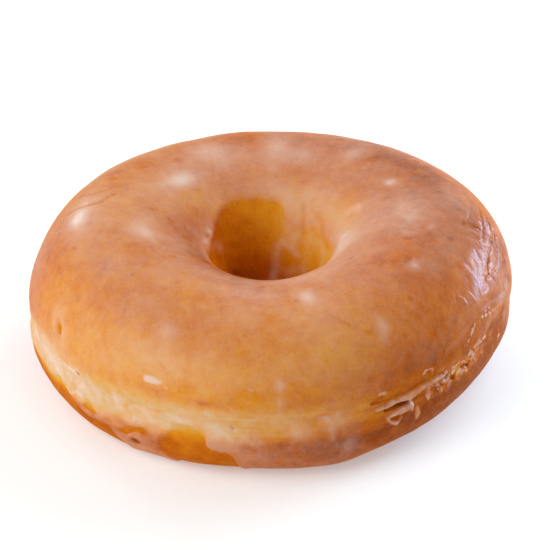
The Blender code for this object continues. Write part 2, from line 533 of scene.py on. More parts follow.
# The rim in the hole: direction, girth
HOLE_RIM = (
    (-175, -22.2), (-90, -22.0), (20, -22.8), (48, -21.7), (64, -22.6), (72, -22.4), (77, -20.8),
    (82, -17.6), (100, -16.2), (123, -16.7), (138, -18.6), (148, -20.0), (163, -21.4),
)
# Runs of glaze down the hole: points of direction, girth, half width
RUNS = (
    ((-95, -21.0, 2.6), (-93, -24.5, 1.6)),
    ((-150, -21.5, 2.0), (-148, -24.0, 1.0)),
)
# Milky film dried on the hole's wall: route, half width, share
FILM_STREAKS = (
    (((80, -24.4), (81.6, -25.9), (84.7, -28.0), (86, -30.5), (87, -33)), 0.85, 0.26),
    (((79, -24.5), (72.9, -25.2), (65.5, -25.8), (57.3, -26.5)), 0.60, 0.26),
    (((73, -21.0), (71.5, -22.6), (70.5, -24.0)), 1.5, 0.22),
    (((64, -21.0), (63.0, -23.4)), 1.0, 0.16),
    (((56, -20.0), (47, -22.6), (40, -22.8), (26, -23.2), (16, -24.4), (13, -26.5)), 1.1, 0.20),
    (((50, -23), (46, -26), (44, -30)), 0.9, 0.10),
    (((70, -31.0), (58, -29.6), (48, -28.8)), 0.8, 0.14),
    (((172, -21.5), (160, -22.5), (152, -23.5)), 1.0, 0.10),
    (((-95, -24), (-93, -27)), 1.2, 0.14),
)
# Patches of bare dough below the flank, each by its corners (direction, girth)
BARE = (
    (
        (-112.9, 31.6), (-110.3, 31.0), (-107.5, 31.0), (-105.8, 31.8), (-105.3, 33.2), (-104, 34.2),
        (-102.4, 34.8), (-100.5, 34.9), (-99.2, 35.5), (-98.2, 37.2), (-97.5, 40.5), (-98.5, 47),
        (-112, 47), (-114.5, 40.5), (-115.0, 37.4), (-116.6, 36.1), (-115.3, 33.9), (-114.1, 32.3),
    ),
    (
        (-128.6, 35.2), (-125.9, 33.5), (-123.0, 32.8), (-120.6, 32.9), (-121.0, 34.0), (-123.8, 34.4),
        (-126.3, 35.7),
    ),
    ((-140.4, 33.4), (-138.5, 32.2), (-136.4, 32.0), (-134.8, 33.3), (-136.0, 34.1), (-138.6, 33.8)),
    (
        (-178, 31.8), (-166, 32.6), (-160.3, 32.6), (-155.9, 32.7), (-152, 31.6), (-149.1, 30.6),
        (-146.2, 31.8), (-144.7, 33.4), (-141.9, 34.5), (-138.7, 35.0), (-134.9, 35.2), (-131, 36.2),
        (-128, 38.2), (-127, 41), (-131, 47), (-178, 47),
    ),
    (
        (88, 41.5), (91, 37.5), (96, 35.0), (101, 36.2), (104, 39.0), (108, 39.5), (111, 43),
        (110, 48), (88, 48),
    ),
    (
        (128, 44), (130, 39.6), (136, 37.8), (141, 40.2), (147, 38.6), (153, 41), (156, 44),
        (152, 48), (130, 48),
    ),
    ((46, 44), (47, 40.4), (52, 38.4), (57, 40.6), (62, 43), (61, 48), (46, 48)),
    ((8, 44), (11, 40.6), (16, 41.4), (20, 44), (18, 48), (9, 48)),
)
# Pits through the glaze: direction, girth, half length, half height, turn
PITS = (
    (-124, 36.8, 1.0, 0.75, 0),
    (-150.2, 20.8, 1.25, 0.75, 60),
)
# Where the rim feathers out instead of ending in a bead: direction, girth, half length, half
# height, turn, share
FEATHERED = (
    (-109, 31.0, 3.2, 1.4, 0, 0.9),
    (-115.5, 35.0, 1.5, 3.0, 0, 0.9),
    (-120, 33.5, 2.0, 1.0, 0, 0.5),
    (-144, 33.6, 3.0, 1.2, 10, 0.6),
    (-126, 33.2, 3.0, 0.8, 20, 0.3),
    (-137.5, 31.8, 1.6, 0.7, 0, 0.4),
    (-160, 33.0, 8.0, 1.4, 0, 0.7),
    (-133, 35.8, 4.0, 1.2, -20, 0.7),
    (99, 36.0, 2.0, 1.5, 0, 0.6),
)

# Cloudy spots in the glaze, and one painted highlight on the left shoulder: direction, girth, half length,
# half height, turn, share
SPOTS_AND_HIGHLIGHT = (
    (145, -8.4, 2.9, 1.8, 0, 0.50),
    (145, -8.4, 1.1, 0.8, 0, 0.25),
    (152, -7.6, 4.5, 1.8, 10, 0.22),
    (-160, -4.4, 3.6, 2.6, 10, 0.40),
    (-158, -5.4, 2.0, 1.2, 10, 0.20),
    (-77, -0.8, 1.9, 3.1, 0, 0.45),
    (-77, -0.8, 0.9, 1.4, 0, 0.20),
    (24, -5.3, 1.6, 1.1, 0, 0.50),
    (24, -5.3, 0.7, 0.5, 0, 0.25),
    (-37, 4.2, 1.5, 1.4, 0, 0.32),
    (-37, 4.2, 0.5, 0.5, 0, 0.25),
    (-15.9, 1.8, 1.4, 0.7, 0, 0.30),
    (-59, 11.6, 1.3, 1.9, 0, 0.38),
    (-60, 14.4, 1.0, 1.4, 0, 0.18),
    (-118, 10.6, 2.0, 1.8, 0, 0.24),
    (-88, 19.1, 0.9, 1.1, 0, 0.42),
    (-88, 23.0, 0.8, 2.2, 0, 0.14),
    (118, -2.6, 5.0, 3.6, 0, 0.34),
    (88, -2.0, 2.4, 4.0, 0, 0.32),
    (76, -5.4, 3.0, 3.0, 0, 0.20),
    (54, -2.0, 2.2, 3.2, 0, 0.30),
    (-3, -4.0, 7.0, 4.0, 20, 0.16),
    (-16, -2.3, 5.0, 3.0, 0, 0.12),
    # painted highlight: whitish sheen on the left shoulder, where the far left window's reflection lies
    (-176, 5.5, 6.0, 3.0, 0, 0.16),
    (-100, -3.0, 5.0, 2.0, 0, 0.12),
    (-118, 15.5, 7.0, 2.0, 0, 0.12),
    (-84, 31.0, 2.0, 1.2, 0, 0.25),
    (-74, 30.3, 2.2, 1.2, 0, 0.20),
    (-71, 35.0, 1.6, 1.6, 40, 0.26),
    (-52, 32.6, 1.7, 1.9, 0, 0.26),
    (-50, 29.6, 1.0, 1.3, 0, 0.20),
    (35, 12.0, 3.0, 1.8, 0, 0.35),
    (70, 8.0, 4.5, 2.2, 0, 0.30),
    (105, 14.0, 3.6, 1.6, 0, 0.35),
    (150, 11.0, 3.0, 2.2, 0, 0.35),
    (165, 19.0, 2.0, 1.4, 0, 0.40),
    (118, 31.0, 5.0, 1.4, 0, 0.40),
    (70, 30.0, 6.0, 1.2, 0, 0.40),
    (30, 29.0, 5.0, 1.2, 0, 0.35),
)
# Broad veils, where the glaze is more or less milky; some rows are painted highlights on the left shoulder
# and on the hole's lips, and one is painted shade that dims a lamp's reflection on the hole's back right
# lip
VEILS_AND_PAINTED_LIGHT = (
    (-58, -11, 16, 6, 0, 0.10),
    # partly milky sugar, partly a painted highlight on the front of the hole's right lip
    (-22, -17.5, 7, 3.5, 0, 0.34),
    (5, -18, 8, 3, 0, 0.08),
    # painted sheen on the left shoulder
    (-172, 6, 9, 5, 0, 0.14),
    (85, -7, 26, 5, 0, 0.04),
    (150, -7, 12, 4, 0, 0.10),
    (-178, -15, 14, 5, 0, -0.20),
    (-128, -14, 8, 3, 0, -0.14),
    (40, -16, 18, 4, 0, 0.14),
    (-118, 18, 12, 3, 0, 0.08),
    (-104, 22.5, 18, 2.6, 0, -0.10),
    (-12, 15, 8, 4, 0, 0.10),
    # whitish band on the hole's left lip: a thick bead of sugar and a painted highlight
    (158, -21.0, 1.0, 1.8, 0, 0.20),
    (-165, 28.5, 13, 2.6, 0, 0.14),
    (-118, 30.6, 4.5, 1.2, 0, 0.14),
    (-102, 31.0, 3.6, 2.0, 20, 0.14),
    (-93, 35.5, 2.6, 1.6, 0, 0.12),
    (72, -29.5, 4.0, 2.4, 0, 0.10),
    (-42, 31.5, 26, 6.5, 0, -0.22),
    (152, -14, 9, 4, 0, 0.12),
    # painted highlight on the left shoulder, in place of part of the far left window's reflection (this row
    # and the next)
    (-173.5, 5.6, 3.0, 1.7, 10, 0.40),
    (-173, 5.9, 1.2, 1.0, 10, 0.25),
    (-125, -8, 26, 7, 0, 0.04),
    (-55, -10, 18, 5, 0, 0.08),
    (-25, -12, 12, 5, 0, 0.08),
    (58, -20, 14, 5, 0, 0.05),
    (-95, -9, 14, 6, 0, -0.07),
    (-160, -17, 10, 5, 0, 0.08),
    # painted shade: a clearer patch that dims the left window's reflection on the hole's back right lip
    (24, -15, 7, 2.2, 0, -0.12),
    (-48, 31.5, 10, 3, 0, -0.10),
    (-118, 35.5, 3, 2, 0, -0.14),
    (-6, 28, 3, 4, 0, 0.08),
    (-8, 19, 4, 5, 0, 0.06),
    (72, -15, 9, 3, 0, 0.08),
    (100, 0, 28, 4, 0, -0.09),
    (-112, -12.5, 12, 3.2, 0, -0.06),
    (-173, 16, 6, 6, 0, 0.12),
)
# Milky wisps, and whitish streaks on the hole's lips that are partly painted highlights: route, half width,
# share
WISPS_AND_HIGHLIGHTS = (
    (((-166, 28.0), (-160, 28.6), (-154, 29.0), (-149, 29.4)), 0.95, 0.42),
    (((-147, 26.9), (-141, 26.3), (-137.5, 25.6)), 0.40, 0.45),
    (((-144, 28.6), (-141.4, 28.9), (-139, 28.7)), 0.45, 0.35),
    (((-143.9, 33.4), (-143.8, 32.1), (-141.7, 31.0), (-139.8, 31.1), (-138.8, 32.0)), 0.45, 0.55),
    (((-136.5, 26.8), (-132, 28.3), (-128.5, 29.7)), 0.90, 0.22),
    (((-129.8, 27.2), (-127.3, 29.4), (-124.4, 31.1), (-121.7, 31.5)), 0.50, 0.30),
    (((-113, 29.0), (-109, 30.1), (-105, 31.0)), 0.45, 0.22),
    (((-106, 27.2), (-96, 27.9), (-85, 28.8)), 0.60, 0.16),
    (((-100.4, 29.0), (-99.3, 29.4), (-98.2, 30.2)), 0.26, 0.50),
    (((-104, 30.2), (-97, 31.6), (-92, 33.0)), 0.90, 0.20),
    (((-78.2, 28.6), (-74.5, 28.2)), 0.85, 0.36),
    (((-76, 30.0), (-75.8, 32.0), (-75.2, 34.2)), 0.70, 0.22),
    (((-88, 19.5), (-88, 23.0), (-88.4, 27.0)), 0.40, 0.14),
    # the next three rows are whitish streaks on the hole's lips: thick sugar, and painted highlights on the
    # lips
    (((-176, -19.5), (172, -20.4), (161, -20.4)), 1.0, 0.22),
    (((-12, -18.9), (-5, -18.7), (0, -17.5)), 0.45, 1.20),
    (((178, -20.2), (171, -20.6), (163, -20.2), (155, -19.8)), 0.70, 0.75),
    (((0, -5.5), (-11, -3.6), (-21.6, -1.8)), 1.60, 0.15),
    (((-6, 22.8), (-11.7, 23.6), (-16.3, 24.2), (-20.5, 25.1), (-23.5, 26.1), (-27, 27.2)), 1.35, 0.20),
)
# Small opaque plates of sugar, in the glaze and a little proud of it
PLATES = (
    (-119, 21.1, 1.8, 0.75, -3, 0.85),
    (-115, 22.0, 0.5, 0.3, 0, 0.45),
    (-104.5, 29.6, 1.0, 0.35, -35, 0.55),
    (-102.5, 28.9, 0.6, 0.3, -20, 0.45),
    (-95, 20.0, 0.7, 0.28, 20, 0.30),
    (-146, 27.0, 2.6, 0.5, 14, 0.45),
    (-141, 26.0, 1.3, 0.6, 8, 0.50),
    (-158, 28.0, 3.4, 0.7, 10, 0.40),
    (-168, 29.0, 3.6, 0.9, 5, 0.35),
    (-150, 29.0, 1.6, 0.5, -30, 0.40),
    (-132, 30.0, 2.2, 0.5, 5, 0.25),
    (60, 26.0, 2.0, 0.6, 10, 0.5),
    (110, 24.0, 1.6, 0.6, -10, 0.5),
    (158, 26.0, 2.4, 0.6, 6, 0.5),
)


def film_streaks(grid):
    """Share of milky film on the bare wall of the hole."""
    patchy = 1 + 0.7 * grid.cloud(1.8, 73, 2)
    return np.clip(grid.lines(FILM_STREAKS, 0.5 * grid.cloud(2.2, 74, 2)) * patchy, 0, 1)


def plates(grid):
    """1 on the small plates of sugar, each scaled by its share."""
    total = grid.flat()
    ragged = 1 + 0.25 * noise(grid.points, 0.9, 70)
    for *place, share in PLATES:
        total = np.maximum(total, share * step(1.25 - grid.oval(*place) * ragged, 0, 0.5))
    return total


def rim_distance(grid):
    """Distance inside the glaze's rim in millimetres, negative beyond it: above the wavering
    lower rim, outside the rim in the hole, and clear of the bare patches and pits."""
    direction, half_width = FRONT_SAG
    drop = FRONT_DROP * bump(bearing(grid.around, direction), half_width)
    lower = LOWER_RIM + drop + 1.8 * grid.cloud(9, 40, 2) - grid.girth
    coarse = 0.35 * grid.cloud(2.0, 44, 2)
    fine = 0.25 * grid.cloud(0.8, 46, 2)
    for corners in BARE:
        patch = grid.inside(corners) + coarse + fine
        lower = soft_minimum(lower, -patch, 0.12)
    fine = 0.25 * grid.cloud(0.9, 48, 2)
    for direction, girth, half_length, half_height, turn in PITS:
        pit = grid.away(direction, girth, half_length / half_height, turn) - half_height
        lower = np.minimum(lower, pit + fine)

    inner = grid.girth - hole_rim(grid) + 0.35 * grid.cloud(2.5, 47, 2)
    fine = 0.15 * noise(grid.points, 1.2, 49)
    for route in RUNS:
        inner = soft_maximum(inner, grid.ribbon(route) + fine, 0.15)
    return soft_minimum(lower, inner, 0.2)


def crispness(grid):
    """1 where the rim ends in a bead, 0 where the glaze feathers out over the dough, as it does
    in the hole."""
    broken = (0.62 + 0.30 * grid.cloud(3.5, 57, 3)) * step(grid.girth, *CRISP_FADE)
    return np.clip(broken - grid.ovals(FEATHERED), 0.0, 1)


def glaze_thickness(grid, edge):
    """Height of the glaze's outer side over the dough, and below the dough's skin beyond the rim.

    A feathered rim thins out over a few millimetres; a crisp one has a rounded bead.
    """
    crisp = crispness(grid)
    film = FILM + 0.05 * grid.cloud(6, 50, 2) + 0.10 * plates(grid)
    feathered = film * step(edge, 0, FEATHER_WIDTH)
    rise = np.clip(edge / RIM_ROUND, 0, 1)
    bead = RIM_BEAD * bump(edge - 0.75, 1.1) * step(grid.girth, *BEAD_FADE)
    beaded = (film + bead) * np.sqrt(1 - (1 - rise) ** 2)
    inside = feathered + (beaded - feathered) * crisp
    return np.where(edge > 0, inside, np.maximum(0.6 * edge, -SUNK))


def milkiness_and_painted_light(grid, edge):
    """How milky the glaze looks: more on the top than on the flank, where it is thick, along the
    proof line, along a crisp rim and in cloudy spots; a few rows add painted highlights and painted shade."""
    crisp = crispness(grid)
    streaks = grid.cloud(4, 66, 2, squash=5)
    flank = 0.06 + 0.12 * sides(grid, LIGHT_FLANK)
    level = 0.24 + (flank - 0.24) * step(grid.girth, 3, 14)
    level += (0.20 + 0.16 * streaks) * sides(grid, PALE_LINE) * bump(grid.girth - PROOF_GIRTH + 0.5, 3.2)
    patchy = 0.45 * grid.cloud(13, 60, 2) + 0.55 * grid.cloud(5, 63, 3)
    milk_and_painted_light = level * (1 + patchy)
    milk_and_painted_light = milk_and_painted_light + grid.ovals(VEILS_AND_PAINTED_LIGHT) + grid.ovals(SPOTS_AND_HIGHLIGHT)
    broken = step(grid.cloud(1.1, 76, 2), -0.55, 0.35) * (1.15 + 0.6 * streaks)
    milk_and_painted_light = milk_and_painted_light + grid.lines(WISPS_AND_HIGHLIGHTS, 0.40 * grid.cloud(1.0, 77, 2)) * broken
    crumbly = grid.cloud(2.2, 19, 2, squash=1.5) + 0.8 * grid.cloud(0.9, 21, 2)
    milk_and_painted_light = milk_and_painted_light + 0.42 * proof_band(grid) * np.maximum(crumbly, -0.3)
    milk_and_painted_light = milk_and_painted_light * (1 - grid.lines(CRACKS))
    milk_and_painted_light = milk_and_painted_light + 0.34 * crisp * bump(edge - 0.8, 1.3) * step(grid.girth, *BEAD_FADE)
    milk_and_painted_light = milk_and_painted_light * (crisp + (1 - crisp) * step(edge, 0, FEATHER_WIDTH))
    milk_and_painted_light = np.maximum(milk_and_painted_light, film_streaks(grid) - 0.1 * step(grid.girth, *FILM_FADE))
    return np.clip(np.maximum(milk_and_painted_light, plates(grid)), CLEAREST, 1)


# Two patches of fine skin, let into the glaze: the torn crease at the front right, and the
# wrinkled shoulder above it. Each is (from, to) in direction and (top, bottom) in girth.

CREASE = ((-74, -4), (22.8, 35.2))
SHOULDER = ((-35, 13), (6.2, 21.6))
PATCH_SPACING = 0.15
PATCH_CORNER = 0.8
PATCH_RISE = (0.8, 1.6)  # distances inside a patch's outline over which its own relief begins
PATCH_DIP = 0.06  # how deep its rim lies under the glaze
PATCH_BOTTOM = 0.7  # depth of its lower side at the rim
PATCH_PROUD = 0.02
TRENCH_DEPTH = 1.3
TRENCH_CLEAR = 1.2  # how much deeper the glaze's inner side goes
TRENCH_WALL = (0.8, 1.7)
TRENCH_REACH = 60  # degrees

# Wrinkles on the shoulder: route, half width, height
WRINKLES = (
    (((-8.9, 12.7), (-9.4, 13.9), (-10.4, 14.7), (-12.1, 15.1), (-14.0, 16.1), (-14.4, 16.9)), 0.12, -0.08),
    (((-14.4, 16.9), (-16.6, 16.8), (-17.6, 17.6)), 0.13, -0.09),
    (((-14.4, 16.9), (-13.4, 17.8), (-12.4, 18.8), (-12.0, 19.9)), 0.14, -0.10),
    (((-11.3, 18.0), (-10.2, 19.1), (-11.6, 20.2)), 0.12, -0.07),
    (((-7.9, 18.7), (-5.0, 18.2), (-2.6, 18.9)), 0.14, -0.06),
    (((-10, 7.4), (-9, 8.4), (-8, 9.6), (-8, 11.2), (-7, 12.9), (-6.8, 14.1)), 0.45, 0.07),
    (((-13, 8.2), (-12, 9.2), (-11, 10.4), (-10.8, 11.9), (-10, 13.3)), 0.40, 0.06),
    (((-6, 8.6), (-5, 9.6), (-5.6, 11.2), (-5, 12.8), (-4.4, 14.2)), 0.30, -0.07),
    (((-3, 13.4), (-3.6, 15.2), (-3, 17.4), (-3.6, 19.4)), 0.35, -0.06),
    (((-33, 13.8), (-31.4, 14.8), (-30, 16.0), (-29.6, 17.4)), 0.35, 0.06),
    (((-28, 15.2), (-26.4, 16.4), (-25.6, 17.8)), 0.30, 0.05),
    (((-21, 18.6), (-18.5, 19.2), (-16.8, 19.8)), 0.30, 0.06),
)

FOLD_FRIED = 0.72
# Folds of thick, pale sugar: (direction, girth, half width) points, height, milkiness
RIDGES = (
    (
        (
            (-64.3, 29.6, 0.12), (-61.5, 29.35, 0.36), (-58.6, 28.95, 0.5), (-56.4, 28.9, 0.75),
            (-54, 28.7, 0.95), (-51.7, 28.4, 0.90), (-49, 28.2, 0.65), (-46.3, 28.0, 0.5),
            (-43.7, 27.9, 0.42), (-42, 27.6, 0.2),
        ),
        0.50, 0.38,
    ),
    (
        (
            (-61.4, 31.5, 0.22), (-60.0, 31.3, 0.28), (-58.4, 31.2, 0.40), (-57.0, 31.1, 0.52),
            (-55.5, 31.0, 0.55), (-54.6, 30.9, 0.45),
        ),
        0.42, 0.44,
    ),
    (((-54.6, 30.2, 0.20), (-54.0, 30.8, 0.32), (-54.2, 31.8, 0.20)), 0.55, 0.85),
    (
        (
            (-61.2, 31.7, 0.2), (-60.6, 32.3, 0.18), (-59.4, 33.0, 0.18), (-58.3, 33.0, 0.2),
            (-57.4, 32.4, 0.12),
        ),
        0.20, 0.26,
    ),
    (((-59.0, 33.0, 0.20), (-58.7, 33.2, 0.20)), 0.35, 0.75),
    (((-52.4, 31.6, 0.4), (-52.1, 32.9, 0.65), (-52.0, 34.3, 0.3)), 0.14, 0.24),
    (((-49.0, 28.9, 0.4), (-48.7, 30.0, 0.6), (-48.5, 31.0, 0.3)), 0.16, 0.34),
    (((-45.2, 29.7, 0.45), (-44.0, 30.8, 0.40)), 0.25, 0.40),
    (((-63.5, 25.8, 0.40), (-62.4, 25.7, 0.45)), 0.22, 0.50),
    (
        (
            (-50.9, 25.3, 0.22), (-50.0, 24.3, 0.26), (-48.6, 24.1, 0.28), (-47.4, 24.9, 0.22),
            (-47.7, 25.9, 0.2),
        ),
        0.24, 0.42,
    ),
    (((-32.7, 27.4, 0.25), (-31.6, 27.0, 0.30), (-30.4, 27.7, 0.25), (-31.0, 28.6, 0.2)), 0.40, 0.80),
    (((-23.6, 27.3, 0.3), (-22.2, 27.3, 0.35)), 0.20, 0.45),
    (((-12.0, 31.6, 0.2), (-11.0, 31.5, 0.25)), 0.15, 0.45),
    (((-43.6, 29.2, 0.2), (-42.0, 29.4, 0.25), (-40.9, 29.0, 0.2)), 0.25, 0.55),
    (((-40.0, 27.4, 0.2), (-38.4, 27.6, 0.3), (-37.0, 27.3, 0.2)), 0.25, 0.40),
    (((-36.0, 29.7, 0.2), (-34.2, 30.0, 0.25), (-32.8, 30.6, 0.2)), 0.25, 0.45),
    (((-29.2, 26.8, 0.2), (-27.4, 26.9, 0.35), (-26.0, 26.6, 0.25)), 0.18, 0.38),
)
# Grooves down to bare dough: (direction, girth, half width) points, depth, brownness, which is also painted
# shade in the grooves' depths
GROOVES = (
    (
        (
            (-65.4, 27.9, 0.5), (-63.6, 27.5, 1.05), (-61.6, 27.0, 1.25), (-59.4, 26.75, 1.4),
            (-56.9, 26.6, 1.3), (-54.3, 26.4, 1.15), (-51.7, 26.1, 1.05), (-48.8, 26.0, 0.9),
            (-46.6, 26.3, 0.5),
        ),
        0.30, 0.82,
    ),
    (((-49.7, 25.1, 0.25), (-48.7, 25.0, 0.32)), 0.20, 0.98),
    (((-61.8, 30.2, 0.15), (-59.6, 30.1, 0.26), (-56.8, 29.95, 0.32), (-55.1, 30.05, 0.16)), 0.95, 1.0),
    (((-59.9, 32.1, 0.35), (-58.4, 32.0, 0.35)), 0.50, 0.80),
    (((-42.5, 28.7, 0.25), (-41.5, 28.5, 0.25)), 0.70, 0.90),
    (((-40.2, 29.6, 0.35), (-39.0, 30.0, 0.55), (-38.2, 29.4, 0.3)), 0.55, 0.90),
    (((-35.4, 29.1, 0.3), (-34.3, 29.0, 0.35)), 0.55, 0.85),
    (((-33.6, 29.4, 0.3), (-32.5, 29.5, 0.42), (-31.9, 29.2, 0.3)), 0.65, 0.98),
    (((-31.9, 27.8, 0.18), (-31.2, 28.0, 0.20)), 0.35, 0.95),
    (((-46.5, 30.2, 0.4), (-44.5, 30.0, 0.5)), 0.25, 0.80),
    (((-25.4, 20.2, 0.08), (-23.4, 19.9, 0.16), (-20.3, 20.9, 0.18), (-17.4, 22.4, 0.10)), 0.20, 1.0),
)


def patch_inset(grid, patch):
    """Distance inside a patch's outline in millimetres, a rounded box with a wavering edge."""
    (start, stop), (top, bottom) = patch
    across = np.abs(grid.across((start + stop) / 2))
    half_length = grid.radius * math.radians(stop - start) / 2
    down = np.abs(grid.girth - (top + bottom) / 2)
    inset = soft_minimum(half_length - across, (bottom - top) / 2 - down, PATCH_CORNER)
    return inset - PATCH_CORNER + 0.5 * noise(grid.points, 3, 80)


def trench(grid):
    """Depth of the beds under the patches, which the crust and the glaze leave for them."""
    depth = grid.flat()
    for patch in (CREASE, SHOULDER):
        near = np.abs(bearing(grid.around, sum(patch[0]) / 2)) < TRENCH_REACH
        depth = np.maximum(depth, np.where(near, step(patch_inset(grid, patch), *TRENCH_WALL), 0))
    return TRENCH_DEPTH * depth


def shoulder_folds(grid):
    """Height of the single wrinkles, and of a faint net of cracks where they meet."""
    uneven = 1 + 0.7 * grid.cloud(1.5, 86, 2)
    folds = grid.lines(WRINKLES, 0.30 * grid.cloud(1.1, 88, 2)) * uneven
    net = 1 - step(grid.crackle(1.7, 81) + 0.10 * grid.cloud(0.8, 82, 2), 0, 0.22)
    return folds - 0.07 * net * uneven * bump(grid.away(-12, 17.4, 1.5), 2.8)


def shoulder_relief(grid):
    """Height of the wrinkled skin: wrinkles, cracks and fine crinkles."""
    crinkled = bump(grid.away(-13, 17.5, 1.3), 3.6)
    return shoulder_folds(grid) + (0.03 + 0.10 * crinkled) * grid.cloud(1.3, 87, squash=0.6)


def shoulder_colour(grid):
    """How brown and how milky the shoulder is: the wrinkles' bottoms are darker and clear, as painted
    shade.
    """
    folds = shoulder_folds(grid)
    # painted shade: the wrinkles' bottoms are darkened and cleared of milky sugar by their depth
    brown = browning_and_shade(grid) + 1.0 * np.maximum(-folds, 0)
    milk_and_painted_light = milkiness_and_painted_light(grid, grid.flat(WELL_INSIDE))
    milk_and_painted_light = milk_and_painted_light + 1.2 * np.maximum(folds, 0) - 1.5 * np.maximum(-folds, 0)
    return np.clip(brown, 0, 1), np.clip(milk_and_painted_light, CLEAREST, 1)


def crumble(grid):
    """1 in the crumbly stretch at the crease's right end, 0 away from it."""
    return bump(grid.away(-37, 29.0, 3.6), 1.9)


def ragged_ribbons(grid, rows):
    """Distance inside each row's ribbon with a ragged edge, and the row's two amounts."""
    ragged = 0.30 * grid.cloud(1.3, 83)
    for route, first, second in rows:
        yield grid.ribbon(route) + ragged, first, second


def crease_relief(grid):
    """Height of the torn skin over the glaze: rounded folds, sharp grooves and fine crumbs."""
    lumpy = 1 + 0.55 * grid.cloud(1.5, 84)
    relief = grid.flat()
    for inset, height, _ in ragged_ribbons(grid, RIDGES):
        rise = np.clip(inset / 0.5, 0, 1)
        relief = np.maximum(relief, height * lumpy * np.sqrt(1 - (1 - rise) ** 2))
    for inset, depth, _ in ragged_ribbons(grid, GROOVES):
        relief = relief - depth * step(inset, -0.25, 0.4)
    relief += 0.28 * crumble(grid) * grid.cloud(0.9, 89)
    return relief + 0.05 * grid.cloud(0.7, 92, 2)


def crease_colour(grid):
    """How brown and how milky the patch is: milky folds with painted highlights along their edges, bare
    brown grooves darkened as painted shade, pale crumbs.
    """
    wisps = step(grid.cloud(1.7, 94, 2), -0.35, 0.30)
    crumbs = crumble(grid)
    brown = browning_and_shade(grid)
    brown = brown + crumbs * (0.66 + 0.34 * grid.cloud(1.2, 95, 2) - brown)
    milk_and_painted_light = milkiness_and_painted_light(grid, grid.flat(WELL_INSIDE))
    milk_and_painted_light = milk_and_painted_light + 0.6 * crumbs * step(grid.cloud(0.8, 97, 2), 0.05, 0.40)
    uneven = grid.cloud(1.3, 98)
    for inset, _, share in ragged_ribbons(grid, RIDGES):
        here = step(inset, -0.30, 0.30)
        # painted highlight along the folds' edges
        edge_highlight = bump(inset - 0.15, 0.22)
        level = share * (0.70 + 0.9 * uneven) + 0.36 * edge_highlight * wisps
        milk_and_painted_light = milk_and_painted_light + (level - milk_and_painted_light) * here
        brown = brown + (FOLD_FRIED - brown) * here
    patchy = grid.cloud(1.5, 99, 2)
    # the grooves' bare dough, darkened further as painted shade
    for inset, _, level in ragged_ribbons(grid, GROOVES):
        here = step(inset, -0.10, 0.20)
        milk_and_painted_light = milk_and_painted_light + (-0.15 - milk_and_painted_light) * here
        brown = brown + (level + 0.12 * patchy - brown) * here
    return np.clip(brown, 0, 1), np.clip(milk_and_painted_light, CLEAREST, 1)


# Meshes


def closed_faces(rows, columns, wrap_rows=True):
    """Quads between neighbouring points of a grid whose columns wrap, and whose rows may."""
    index = np.arange(rows * columns).reshape(rows, columns)
    after = np.roll(index, -1, axis=1)
    quads = np.stack((index, after, np.roll(after, -1, axis=0), np.roll(index, -1, axis=0)), axis=-1)
    if not wrap_rows:
        quads = quads[:-1]
    return quads.reshape(-1, 4)


def placed(name, data):
    """A new object that shows a mesh, a light or a camera in the scene."""
    thing = bpy.data.objects.new(name, data)
    bpy.context.scene.collection.objects.link(thing)
    return thing


def make_piece(name, points, quads, brown, milk_and_painted_light, material):
    """One piece of the doughnut, shaded smooth, with how brown and how milky it is at every point; both
    values also carry painted shade and painted highlights in places.
    """
    mesh = bpy.data.meshes.new(name)
    mesh.from_pydata(points.reshape(-1, 3) * MM, [], quads)
    for value_name, value in (("browning_and_shade", brown), ("milk_and_painted_light", milk_and_painted_light)):
        attribute = mesh.attributes.new(value_name, "FLOAT", "POINT")
        attribute.data.foreach_set("value", value.astype(np.float32).ravel())
    mesh.shade_smooth()
    mesh.materials.append(material)
    piece = placed(name, mesh)
    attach(piece, "root")
    return piece


def sheet(upper, lower, upper_values, lower_grid):
    """Points and values of a closed sheet, whose lower side is plain and hidden."""
    hidden = lower_grid.flat()
    arrays = [np.concatenate((value, hidden), axis=1) for value in upper_values]
    return np.concatenate((upper, lower), axis=1), *arrays


def spaced(start, stretches):
    """Girths from start to the last stretch's end; each stretch is (its end, its spacing)."""
    parts = []
    for stop, spacing in stretches:
        count = max(int(round((stop - start) / spacing)), 1)
        parts.append(np.linspace(start, stop, count, endpoint=False))
        start = stop
    return np.concatenate(parts + [[start]])


def raised(grid, offset):
    """Points of the form, moved outwards by an offset in millimetres and kept off the ground."""
    points = grid.points + grid.normals * offset[..., None]
    points[..., 2] = np.maximum(points[..., 2], GROUND_GAP)
    return points


# How closely the crust's and the glaze's points lie: in millimetres of girth, each stretch with
# its end and its spacing, and for the glaze also in degrees around the ring
CRUST_COUNT = 480
HOLE_DEPTH = 45
CRUST_STRETCHES = (
    (24, 1.2), (48, 0.35), (60, 1.0), (GIRTH - 36, 0.6), (GIRTH - 12, 0.4), (GIRTH, 1.2),
)
GLAZE_AROUNDS = ((-90, 0.45), (5, 0.62), (180, 0.95))
GLAZE_STRETCHES = ((-12, 0.6), (18, 0.90), (40, 0.36), (GLAZE_TO, 0.6))
INNER_ROWS = 14
LOWER_STRIDE = 9  # a patch's lower side has one row of points for each nine of its upper side


def crust(material):
    """The whole skin of the dough, from the crown down, under and up through the hole.

    Girths in the hole are written as negative ones, as they are in the tables.
    """
    arounds = np.linspace(0, 2 * math.pi, CRUST_COUNT, endpoint=False)
    girths = spaced(0, CRUST_STRETCHES)[:-1]
    grid = Grid(arounds, np.where(girths > GIRTH - HOLE_DEPTH, girths - GIRTH, girths))
    points = raised(grid, dough_relief(grid) - trench(grid))
    quads = closed_faces(len(arounds), len(girths))
    brown, milk_and_painted_light = browning_and_shade(grid), film_streaks(grid)
    return make_piece("dough_crust", points, quads, brown, milk_and_painted_light, material)


